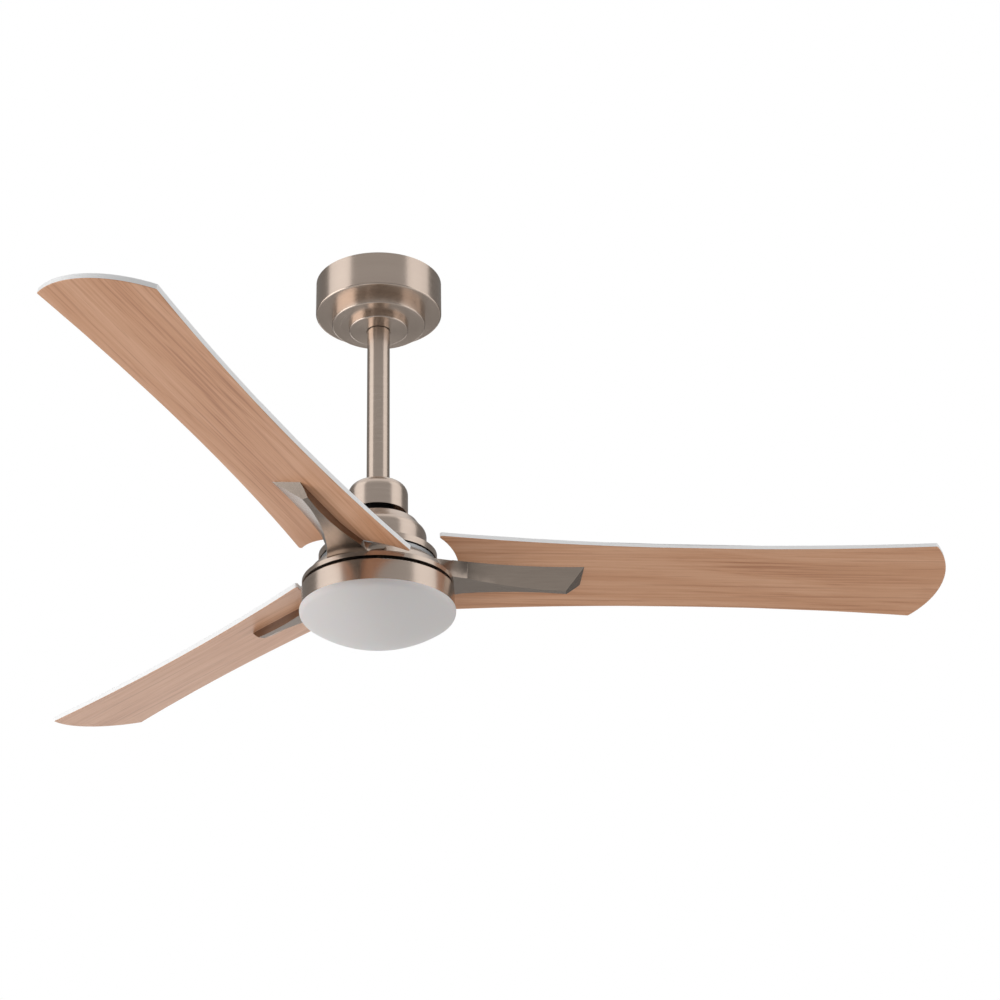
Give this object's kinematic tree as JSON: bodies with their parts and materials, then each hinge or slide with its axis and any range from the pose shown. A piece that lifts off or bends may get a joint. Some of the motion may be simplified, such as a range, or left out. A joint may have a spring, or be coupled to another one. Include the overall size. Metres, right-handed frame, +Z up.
{
  "type": "ceiling fan with light",
  "caption": "Downrod ceiling fan with pitched wood-grain blades on faceted metal arms, a brushed motor housing, a round opal light and a stepped ceiling canopy.",
  "frame": {"origin": "centre of the ceiling plane, where the bracket's top face meets the fan's own axis", "axes": "+Z up towards the ceiling, along the rotor's axis; -Y faces the viewer; the first blade lies about 5 degrees from +X"},
  "size_m": [1.0808, 1.165, 0.4646],
  "materials": {
    "satin_nickel": "brushed, warm satin nickel plate",
    "beech_face": "matte wood-grain face with white edges and top",
    "opal_lens": "opal diffuser, satin",
    "zinc_steel": "bright zinc",
    "black_casting": "black painted casting",
    "ball_nylon": "moulded",
    "receiver_plastic": "moulded, fine texture",
    "terminal_plastic": "moulded",
    "wire_sleeve": "PVC sleeving",
    "turned_steel": "turned and ground",
    "stator_laminations": "stacked laminations",
    "copper_winding": "enamelled wire",
    "ferrite": "sintered magnet",
    "cast_aluminium": "die cast",
    "fibre_washer": "red fibre",
    "board_white": "white solder mask",
    "led_phosphor": "phosphor"
  },
  "bodies": {
    "hanger": {"downrod": "satin_nickel", "motor_housing": "satin_nickel", "light_pan": "satin_nickel", "ceiling_bracket": "zinc_steel", "hanger_pin": "zinc_steel", "ball_set_screw": "zinc_steel", "coupler_pin": "zinc_steel", "coupler_clip": "zinc_steel", "coupler_screws": "zinc_steel", "housing_screws": "zinc_steel", "light_plate": "zinc_steel", "shaft_nuts": "zinc_steel", "pan_screws": "zinc_steel", "board_standoffs": "zinc_steel", "motor_coupler": "black_casting", "hanger_ball": "ball_nylon", "receiver_box": "receiver_plastic", "led_driver": "receiver_plastic", "terminal_block": "terminal_plastic", "light_connector": "terminal_plastic", "lead_wires": "wire_sleeve", "shaft": "turned_steel", "bearing_inner_rings": "turned_steel", "stator_core": "stator_laminations", "stator_windings": "copper_winding", "led_board": "board_white", "led_chips": "led_phosphor"},
    "canopy_shell": {"canopy": "satin_nickel", "canopy_clips": "zinc_steel"},
    "cover_shell": {"coupling_cover": "satin_nickel", "cover_screw": "satin_nickel"},
    "rotor": {"bearing_outer_rings": "turned_steel", "bearing_balls": "turned_steel", "magnet_ring": "ferrite", "rotor_cup": "cast_aluminium", "rotor_top_plate": "cast_aluminium", "rotor_screws": "zinc_steel", "carrier_plate": "cast_aluminium", "hub_ring": "satin_nickel", "blade_arm_1": "satin_nickel", "blade_arm_2": "satin_nickel", "blade_arm_3": "satin_nickel", "blade_1": "beech_face", "blade_2": "beech_face", "blade_3": "beech_face", "blade_screws": "zinc_steel", "blade_washers": "fibre_washer", "arm_screws": "zinc_steel"},
    "diffuser": {"lens": "opal_lens"}
  },
  "joints": [
    {"name": "rotor_spin", "type": "hinge", "parent": "hanger", "child": "rotor", "pos_m": [0, 0, -0.381], "axis": [0, 0, 1], "continuous": true},
    {"name": "canopy_slide", "type": "slide", "parent": "hanger", "child": "canopy_shell", "axis": [0, 0, -1], "range_m": [0, 0.13]},
    {"name": "cover_slide", "type": "slide", "parent": "hanger", "child": "cover_shell", "axis": [0, 0, 1], "range_m": [0, 0.07]},
    {"name": "lens_twist", "type": "hinge", "parent": "hanger", "child": "diffuser", "pos_m": [0, 0, -0.43], "axis": [0, 0, 1], "range_deg": [0, 35]}
  ]
}
